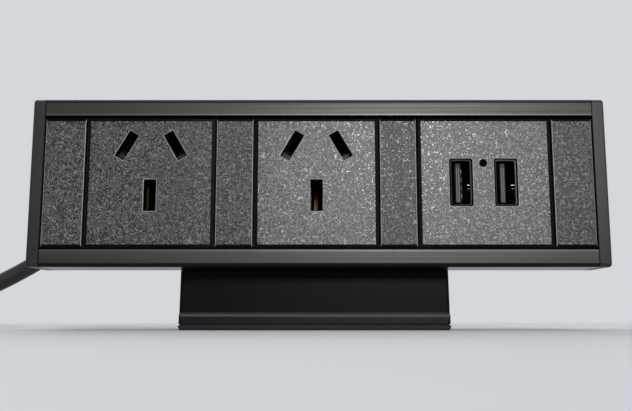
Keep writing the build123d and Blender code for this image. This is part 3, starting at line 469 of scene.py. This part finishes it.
# Each socket outlet is a plastic front moulding screwed to a rear one, and slides in the grooves
# behind the rails. In the rear moulding lie three forked brass contacts, and in front of them a
# shutter, which a bowed leaf spring holds up.
ridge_size = 0.6
grit_size = 0.48
glint_speck_size = 0.6
patch_size = 45.0
grain_depth = 0.05
shallow_edge = 34
module_edge = 0.18
socket_dark = (0.0003, 0.0003, 0.0004)
# Each socket's lighter grain tone is a painted highlight. The first socket's is darker than the
# second's, though the two mouldings are alike: painted shade.
socket_ridge_highlight = {1: (0.132, 0.132, 0.134), 2: (0.215, 0.213, 0.213)}
socket_gloss = {1: 0.30, 2: 0.54}
wear_and_highlight_tones = (0.17, 0.17, 0.17), (0.36, 0.36, 0.36)
unhighlighted_tone = (0.003, 0.003, 0.0035)
pins = ("active", "neutral", "earth")


def grained(name, dark, ridge_highlight, gloss):
    """Moulded plastic with the spark-eroded grain of its mould: winding ridges in relief whose
    lighter tone is a painted highlight, some grit, and bright specks painted as glints, on a slow
    change of tone."""
    plastic = Finish(name, dark, 0.3, gloss=gloss)
    winding = plastic.noise(ridge_size, detail=0.0, distort=0.3)
    ridge = plastic.ramp(plastic.distance(winding, 0.5), 0.02, 0.095, 1.0, 0.0)
    grit = plastic.noise(grit_size, detail=0.0)
    glint_speck = plastic.ramp(plastic.noise(glint_speck_size, detail=0.0), 0.66, 0.72)
    height = ridge * 0.9 + grit * 0.1
    patch = plastic.noise(patch_size, detail=1.0)
    even = plastic.mix(patch, dark, tuple(0.85 * a + 0.15 * b for a, b in zip(dark, ridge_highlight)))
    tone = plastic.ramp(height, 0.15, 0.80) + glint_speck * 0.5
    plastic.put("Base Color", plastic.mix(tone, even, ridge_highlight))
    plastic.put("Roughness", plastic.ramp(height, 0.20, 0.80, 0.44, 0.28))
    plastic.relief(height, grain_depth, 1.0)
    return plastic


def plain(name, colour, roughness, metallic=0.0, grit=0.8, gloss=0.5):
    """A finish with a little unevenness of tone, roughness and surface."""
    made = Finish(name, colour, roughness, metallic, gloss)
    cloud = made.noise(grit * 6, detail=3.0)
    fine = made.noise(grit)
    darker = tuple(0.85 * part for part in colour)
    lighter = tuple(min(1.0, 1.15 * part) for part in colour)
    made.put("Base Color", made.mix(cloud, darker, lighter))
    made.put("Roughness", made.ramp(fine, 0.3, 0.7, roughness * 0.92, roughness * 1.08))
    made.relief(fine, 0.006)
    return made


def places(mesh):
    """The places of a mesh's vertices in metres, one row each."""
    flat = np.empty(3 * len(mesh.vertices), dtype=np.float32)
    mesh.vertices.foreach_get("co", flat)
    return flat.reshape(-1, 3).astype(float)


def middle_x(node):
    """The place of a node's middle along the housing, in millimetres."""
    across = places(nodes[node].data)[:, 0]
    return float(across.min() + across.max()) / 2 / mm


def panelled(node, piece, grain, edge, holes=()):
    """A front panel: its flat face has the grain, its bevels, sides and holes are smooth, and its
    rounded edges are painted lighter: a painted highlight, with patchy wear. The holes are given
    by the places of their middles along the housing."""
    cuts = [(0, place) for place in holes]
    copy = softened(node, piece, grain, edge, cuts, sharpest=shallow_edge)
    mesh = copy.data
    mesh.materials.append(panel_sides.material)
    mesh.materials.append(edge_wear_and_highlight.material)
    centres = np.empty(3 * len(mesh.polygons), dtype=np.float32)
    mesh.polygons.foreach_get("center", centres)
    behind_face = centres[1::3] >= places(mesh)[:, 1].min() + 0.05 * mm
    mesh.polygons.foreach_set("material_index", behind_face.astype(np.int32))
    copy.modifiers["edge"].material = 2


def dressed(node, finish):
    """A node that keeps its own shape and gets a better finish."""
    materials = nodes[node].data.materials
    materials.clear()
    materials.append(finish.material)


panel_sides = plain("panel_sides", (0.002, 0.002, 0.0025), 0.50, gloss=0.05)
inner_plastic = plain("inner_moulding", (0.018, 0.018, 0.018), 0.55)
shutter_plastic = plain("shutter_moulding", (0.007, 0.007, 0.0075), 0.45, gloss=0.2)
# The brass is painted far darker than brass: painted shade, as the contacts lie deep in the slots.
shaded_brass = plain("stamped_brass_shaded", (0.030, 0.019, 0.008), 0.34, metallic=1.0)
bright_steel = plain("plated_steel", (0.46, 0.46, 0.47), 0.28, metallic=1.0)

# The panels' rounded edges are painted lighter: a painted highlight, with patchy wear. Deeper in
# the gap behind the face they keep the plastic's black.
edge_wear_and_highlight = Finish("edge_wear_and_highlight", (0.15, 0.15, 0.15), 0.30, gloss=0.3)
panel_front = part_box("socket_face_1")[0][1]
behind = edge_wear_and_highlight.ramp(
    edge_wear_and_highlight.along("Y"), panel_front + 0.15 * mm, panel_front + 0.30 * mm
)
wear_and_highlight = edge_wear_and_highlight.mix(edge_wear_and_highlight.noise(3.0, detail=3.0), *wear_and_highlight_tones)
edge_wear_and_highlight.put("Base Color", edge_wear_and_highlight.mix(behind, wear_and_highlight, unhighlighted_tone))
edge_wear_and_highlight.put("Roughness", edge_wear_and_highlight.ramp(behind, 0.0, 1.0, 0.30, 0.75))

for number in (1, 2):
    holes = [middle_x(f"{which}_contact_{number}") for which in pins]
    grain = grained(
        f"socket_grain_{number}", socket_dark, socket_ridge_highlight[number], socket_gloss[number]
    )
    face = f"socket_face_{number}"
    panelled(face, f"socket_front_{number}", grain, module_edge, holes)
    dressed(f"socket_rear_{number}", inner_plastic)
    dressed(f"shutter_{number}", shutter_plastic)
    leaf = f"shutter_spring_{number}"
    leaf_spring = smoothed(leaf, f"leaf_spring_{number}", bright_steel)
    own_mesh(leaf_spring)
    for which in pins:
        dressed(f"{which}_contact_{number}", shaded_brass)
dressed("socket_screws", bright_steel)


# The charger's front moulding has two upright openings for its ports and a hole for its lamp.
# Behind each opening stand a folded steel shell, soldered to the charger's board, and a tongue
# with four contact strips.
charger_edge = 0.16
charger_dark = (0.0005, 0.0005, 0.0005)
# Its ridges' lighter tone is a painted highlight.
charger_ridge_highlight = (0.220, 0.220, 0.217)
charger_gloss = 0.54
lug_drops = {"upper": 0.75, "lower": 1.75}
# Each port's side, the tone of its shell's painted rim highlight (lighter in the right port), and
# half the reach of its lugs.
ports = (("left", 0.012, 0.42), ("right", 0.030, 0.60))
shell_tones = (0.006, 0.006, 0.006), (0.013, 0.013, 0.0125)
shell_wall = 0.35
rim_width = 0.45
tongue_tones = (0.066, 0.070, 0.064), (0.092, 0.096, 0.090)
tongue_shade = (0.006, 0.006, 0.006)
tongue_shadow_depth = 1.6
tongue_flat = 0.42
lug_place = -21.9
lug_half_depth = 0.4
lug_half_height = 0.11

charger_grain = grained("charger_grain", charger_dark, charger_ridge_highlight, charger_gloss)
# The gold is painted far darker than gold: painted shade on the contact strips deep in the ports.
shaded_gold = plain("gold_plating_shaded", (0.16, 0.11, 0.045), 0.30, metallic=1.0)
smoked = plain("smoked_lens", (0.001, 0.001, 0.0015), 0.08, gloss=0.02)
board_lacquer = plain("board_lacquer", (0.012, 0.090, 0.035), 0.35)
ferrite = plain("ferrite", (0.03, 0.03, 0.03), 0.6)
sleeve = plain("capacitor_sleeve", (0.01, 0.01, 0.03), 0.3)
# The two lugs are of one steel; the lower one's darker tone is painted shade.
bright_lug = plain("bright_lug", (0.36, 0.36, 0.35), 0.30, metallic=1.0)
shaded_lug = plain("shaded_lug", (0.10, 0.10, 0.10), 0.40, metallic=1.0)

holes = [middle_x(node) for node in ("usb_shell_left", "charger_lamp", "usb_shell_right")]
panelled("charger_face", "charger_front", charger_grain, charger_edge, holes)


def shell_finish(node, side, rim_highlight_tone):
    """Dull plated steel. On the cut edge at the mouth, the side away from the tongue and the upper
    side
    are painted brighter: a painted highlight."""
    made = Finish(f"shell_steel_{side}", (0.010, 0.010, 0.0095), 0.48, metallic=1.0)
    (_, mouth, _), (far_side, _, top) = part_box(node)
    rim_start, rim_full = rim_width * mm, (rim_width - 0.05) * mm
    cut = made.ramp(made.along("Y"), mouth + 0.03 * mm, mouth + 0.08 * mm, 1.0, 0.0)
    beside = made.ramp(made.along("X"), far_side - rim_start, far_side - rim_full)
    above = made.ramp(made.along("Z"), top - rim_start, top - rim_full, 0.0, 0.6)
    rim_highlight = cut * made.greater(beside, above)
    haze = made.noise(2.5, detail=3.0)
    dull = made.mix(haze, *shell_tones)
    made.put("Base Color", made.mix(rim_highlight, dull, (rim_highlight_tone, rim_highlight_tone, 0.96 * rim_highlight_tone)))
    made.put("Roughness", made.ramp(haze, 0.3, 0.7, 0.44, 0.54) - rim_highlight * 0.12)
    made.relief(made.noise(0.6), 0.005)
    return made


def tongue_finish(node, side):
    """Pale insulator whose tip has a parting line along its middle, painted shade on its chamfers
    and a painted shadow on its upper end."""
    corners = places(nodes[node].data)
    at_tip = corners[:, 1] < corners[:, 1].min() + 0.05 * mm
    middle = float(corners[at_tip, 0].mean())
    made = Finish(f"tongue_moulding_{side}", (0.062, 0.064, 0.060), 0.55, gloss=0.35)
    aside = made.distance(made.along("X"), middle - 0.05 * mm)
    seam = made.ramp(aside, 0.07 * mm, 0.24 * mm, 0.8, 0.0)
    shaded_chamfer = made.ramp(aside, tongue_flat * mm, (tongue_flat + 0.14) * mm)
    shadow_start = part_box(node)[1][2] - tongue_shadow_depth * mm
    shadowed_upper_end = made.ramp(made.along("Z"), shadow_start, shadow_start + 0.2 * mm)
    shaded = made.greater(seam, made.greater(shaded_chamfer, shadowed_upper_end))
    haze = made.noise(1.2)
    made.put("Base Color", made.mix(shaded, made.mix(haze, *tongue_tones), tongue_shade))
    made.put("Roughness", made.ramp(haze, 0.3, 0.7, 0.48, 0.62))
    made.relief(seam, 0.05)
    return made


def rounded_block(piece, centre, half, squareness=0.35, steps=24):
    """A closed block with soft corners: each of its three coordinates is half a side times powers
    of the sines and cosines of a latitude and a longitude. The smaller the power, the squarer."""
    latitude, longitude = np.meshgrid(
        np.linspace(-pi / 2, pi / 2, steps), np.linspace(-pi, pi, 2 * steps), indexing="ij"
    )

    def power(value):
        return np.sign(value) * np.abs(value) ** squareness

    unit = np.stack(
        (
            power(np.cos(latitude)) * power(np.cos(longitude)),
            power(np.cos(latitude)) * power(np.sin(longitude)),
            power(np.sin(latitude)),
        ),
        axis=-1,
    )
    grid = (np.array(centre) + np.array(half) * unit).reshape(-1, 3)
    row, column = np.meshgrid(np.arange(steps - 1), np.arange(2 * steps - 1), indexing="ij")
    first = (row * 2 * steps + column).ravel()
    faces = np.stack((first, first + 1, first + 2 * steps + 1, first + 2 * steps), axis=-1)
    mesh = bpy.data.meshes.new(piece)
    mesh.from_pydata(grid.tolist(), [], faces.tolist())
    work = bmesh.new()
    work.from_mesh(mesh)
    bmesh.ops.remove_doubles(work, verts=work.verts, dist=0.001 * mm)
    bmesh.ops.recalc_face_normals(work, faces=work.faces)
    work.to_mesh(mesh)
    work.free()
    mesh.shade_smooth()
    made = bpy.data.objects.new(piece, mesh)
    bpy.context.scene.collection.objects.link(made)
    return made


for side, rim_highlight_tone, reach in ports:
    shell, tongue = f"usb_shell_{side}", f"usb_tongue_{side}"
    smoothed(shell, f"port_shell_{side}", shell_finish(shell, side, rim_highlight_tone))
    dressed(tongue, tongue_finish(tongue, side))
    shell_low, shell_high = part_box(shell)
    wall_inside = shell_high[0] - shell_wall * mm
    port_middle = (shell_low[2] + shell_high[2]) / 2
    for name, metal, out in (("upper", bright_lug, reach), ("lower", shaded_lug, 0.9 * reach)):
        lug = rounded_block(
            f"port_lug_{side}_{name}",
            (wall_inside - out * mm, lug_place * mm, port_middle - lug_drops[name] * mm),
            (out * mm, lug_half_depth * mm, lug_half_height * mm),
        )
        lug.data.materials.append(metal.material)
        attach(lug, "housing")
dressed("usb_contacts", shaded_gold)
dressed("charger_lamp", smoked)
dressed("charger_board", board_lacquer)
dressed("charger_transformer", ferrite)
dressed("charger_capacitor", sleeve)
dressed("charger_rear_cover", inner_plastic)


# Four moulded blank panels fill the places between the modules and beside the end caps. They slide
# in the same grooves. Their edges are crisper than the modules', and their grain is as dark as the
# first socket's.
blank_edge = 0.10
blank_dark = (0.0005, 0.0005, 0.0005)
# The ridges' lighter tone is a painted highlight, as on the sockets.
blank_ridge_highlight = (0.136, 0.136, 0.136)
blank_gloss = 0.30

blank_grain = grained("blank_grain", blank_dark, blank_ridge_highlight, blank_gloss)
for number in (1, 2, 3, 4):
    blank = f"blank_panel_{number}"
    panelled(blank, f"blank_{number}", blank_grain, blank_edge)


# The end caps are moulded plates, flush with the extrusion and rounded on their outer edge. Four
# countersunk screws hold each one to the screw ports inside the housing.
cap_plastic = plain("cap_moulding", (0.012, 0.012, 0.0125), 0.36, grit=0.5, gloss=0.35)
black_screw = plain("black_oxide", (0.02, 0.02, 0.021), 0.32, metallic=0.8)
smoothed("end_cap_left", "left_end_cap", cap_plastic)
smoothed("end_cap_right", "right_end_cap", cap_plastic)
smoothed("end_cap_screws", "cap_screws", black_screw)


# The overload breaker sits inside, against the back wall. Its threaded bush comes out through a
# round hole, and a ring nut holds it. The button in the bush jumps out when the breaker trips.
button_edge = 0.12
breaker_plastic = plain("breaker_moulding", (0.03, 0.03, 0.03), 0.45)
dull_nickel = plain("dull_nickel", (0.21, 0.205, 0.195), 0.34, metallic=1.0)
button = plain("button_moulding", (0.012, 0.012, 0.012), 0.25)
dressed("overload_breaker", breaker_plastic)
smoothed("breaker_nut", "ring_nut", dull_nickel)
softened(
    "reset_button", "breaker_button", button, button_edge, body="reset_button"
)


# The cord passes the back wall in a gland with a nut inside, and a grooved sleeve moulded on the
# cord spreads its bend. The vinyl plug is moulded on the cord's other end, in two mould halves
# that leave a parting line. Its upper pins have an insulating coating next to the plug.
plug_edge = 0.5
pin_edge = 0.15
parting_width = 0.06
coating_length = 7.8
earth_pin_top = 9.5
vinyl_tones = (0.012, 0.012, 0.013), (0.020, 0.020, 0.020)
parting_tone = (0.004, 0.004, 0.004)
pin_tones = (0.48, 0.40, 0.26), (0.62, 0.53, 0.36)
coating_tone = (0.012, 0.012, 0.012)

smoothed("cord_gland", "gland_collar", inner_plastic)
dressed("gland_nut", inner_plastic)
strain_relief = smoothed("strain_relief", "relief_sleeve", sheath)

plug_vinyl = Finish("plug_vinyl", (0.014, 0.014, 0.015), 0.45, gloss=0.35)
plug_pores = plug_vinyl.noise(0.7)
plug_haze = plug_vinyl.noise(9.0, detail=3.0)
from_parting = plug_vinyl.distance(plug_vinyl.along("Z"), plug_axis_height * mm)
parting = plug_vinyl.ramp(from_parting, parting_width * mm, 2 * parting_width * mm, 1.0, 0.0)
vinyl_tone = plug_vinyl.mix(plug_haze, *vinyl_tones)
plug_vinyl.put("Base Color", plug_vinyl.mix(parting * 0.6, vinyl_tone, parting_tone))
plug_vinyl.put("Roughness", plug_vinyl.ramp(plug_haze, 0.3, 0.7, 0.40, 0.52))
plug_vinyl.relief(plug_pores * 0.4 - parting, 0.08, 0.6)
plug_body = softened(
    "plug_body", "moulded_plug", plug_vinyl, plug_edge, segments=3
)

pin_metal = Finish("pin_plating", (0.56, 0.47, 0.31), 0.28, metallic=1.0)
along_plug = {0: pin_metal.here(), 1: tuple(tail_heading)}
axis_place = pin_metal.node("VectorMath", {"operation": "DOT_PRODUCT"}, along_plug, "Value")
pin_root = float((places(plug_body.data) @ tail_heading).max())
coating_end = pin_root + coating_length * mm
near_root = pin_metal.ramp(axis_place, coating_end, coating_end + 0.1 * mm, 1.0, 0.0)
upper_pins = pin_metal.ramp(
    pin_metal.along("Z"), earth_pin_top * mm, (earth_pin_top + 1.0) * mm
)
coated = near_root * upper_pins
rubbing = pin_metal.noise(1.2, detail=3.0, stretch=(1.0, 1.0, 0.3))
pin_tone = pin_metal.mix(rubbing, *pin_tones)
pin_metal.put("Base Color", pin_metal.mix(coated, pin_tone, coating_tone))
pin_metal.put("Metallic", 1.0 - coated)
pin_metal.put("Roughness", pin_metal.ramp(rubbing, 0.3, 0.7, 0.24, 0.34) + coated * 0.15)
pin_metal.relief(coated, 0.1)
plug_pins = softened("plug_pins", "pin_blades", pin_metal, pin_edge)

tuple(points[0] * mm)


# The stand is a hollow drafted plastic neck on a coated steel base plate, with a rubber pad under
# it. Two screws go up through it into square nuts in the housing's slot. The plate's rounded top
# edge and the neck's foot are painted lighter: a painted highlight.
stand_edge = 0.12
pad_edge = 0.08
highlight_height = 0.7
neck_tones = (0.0030, 0.0030, 0.0034), (0.0042, 0.0042, 0.0047)
neck_highlight_tone = (0.045, 0.045, 0.046)
plate_tone = (0.0045, 0.0045, 0.005)
plate_highlight_tone = (0.12, 0.12, 0.122)
riser_bottom = 1.25
riser_overlap = 0.42

foot_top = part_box("stand_base")[1][2]
neck_plastic = Finish("stand_moulding", (0.003, 0.003, 0.0035), 0.36, gloss=0.04)
highlight_top = foot_top + highlight_height * mm
# The neck's foot is painted lighter: a painted highlight.
neck_highlight_mask = neck_plastic.ramp(neck_plastic.along("Z"), foot_top, highlight_top, 1.0, 0.0)
satin = neck_plastic.noise(4.0, detail=3.0)
neck_tone = neck_plastic.mix(satin, *neck_tones)
neck_plastic.put("Base Color", neck_plastic.mix(neck_highlight_mask, neck_tone, neck_highlight_tone))
neck_plastic.put("Roughness", neck_plastic.ramp(satin, 0.3, 0.7, 0.32, 0.40))
neck_plastic.relief(neck_plastic.noise(0.5), 0.006)

plate_coating = Finish("stand_coating", (0.005, 0.005, 0.0055), 0.34, gloss=0.12)
# The plate's rounded top edge is painted lighter, a little patchily: a painted highlight.
near_top = plate_coating.ramp(
    plate_coating.along("Z"), foot_top - 0.85 * mm, foot_top - 0.35 * mm
)
cloudy = plate_coating.ramp(plate_coating.noise(6.0, detail=3.0), 0.2, 0.8, 0.7, 1.0)
plate_highlight_mask = near_top * cloudy
plate_coating.put("Base Color", plate_coating.mix(plate_highlight_mask, plate_tone, plate_highlight_tone))
plate_gloss = plate_coating.ramp(plate_coating.noise(4.0), 0.3, 0.7, 0.30, 0.38)
plate_coating.put("Roughness", plate_gloss)
plate_coating.relief(plate_coating.noise(0.5), 0.006)

pad_rubber = plain("pad_rubber", (0.0065, 0.0065, 0.007), 0.6, gloss=0.25)
softened("stand_neck", "stand_column", neck_plastic, stand_edge)
softened("stand_base", "stand_foot", plate_coating, stand_edge)
rubber_pad = softened("stand_pad", "rubber_pad", pad_rubber, pad_edge)
pad_places = places(rubber_pad.data)
risen = pad_places[:, 2] > riser_bottom * mm
pad_places[risen, 0] += np.copysign(riser_overlap * mm, pad_places[risen, 0])
rubber_pad.data.vertices.foreach_set("co", pad_places.astype(np.float32).ravel())
rubber_pad.data.update()
dressed("stand_screws", bright_steel)
dressed("stand_nuts", bright_steel)
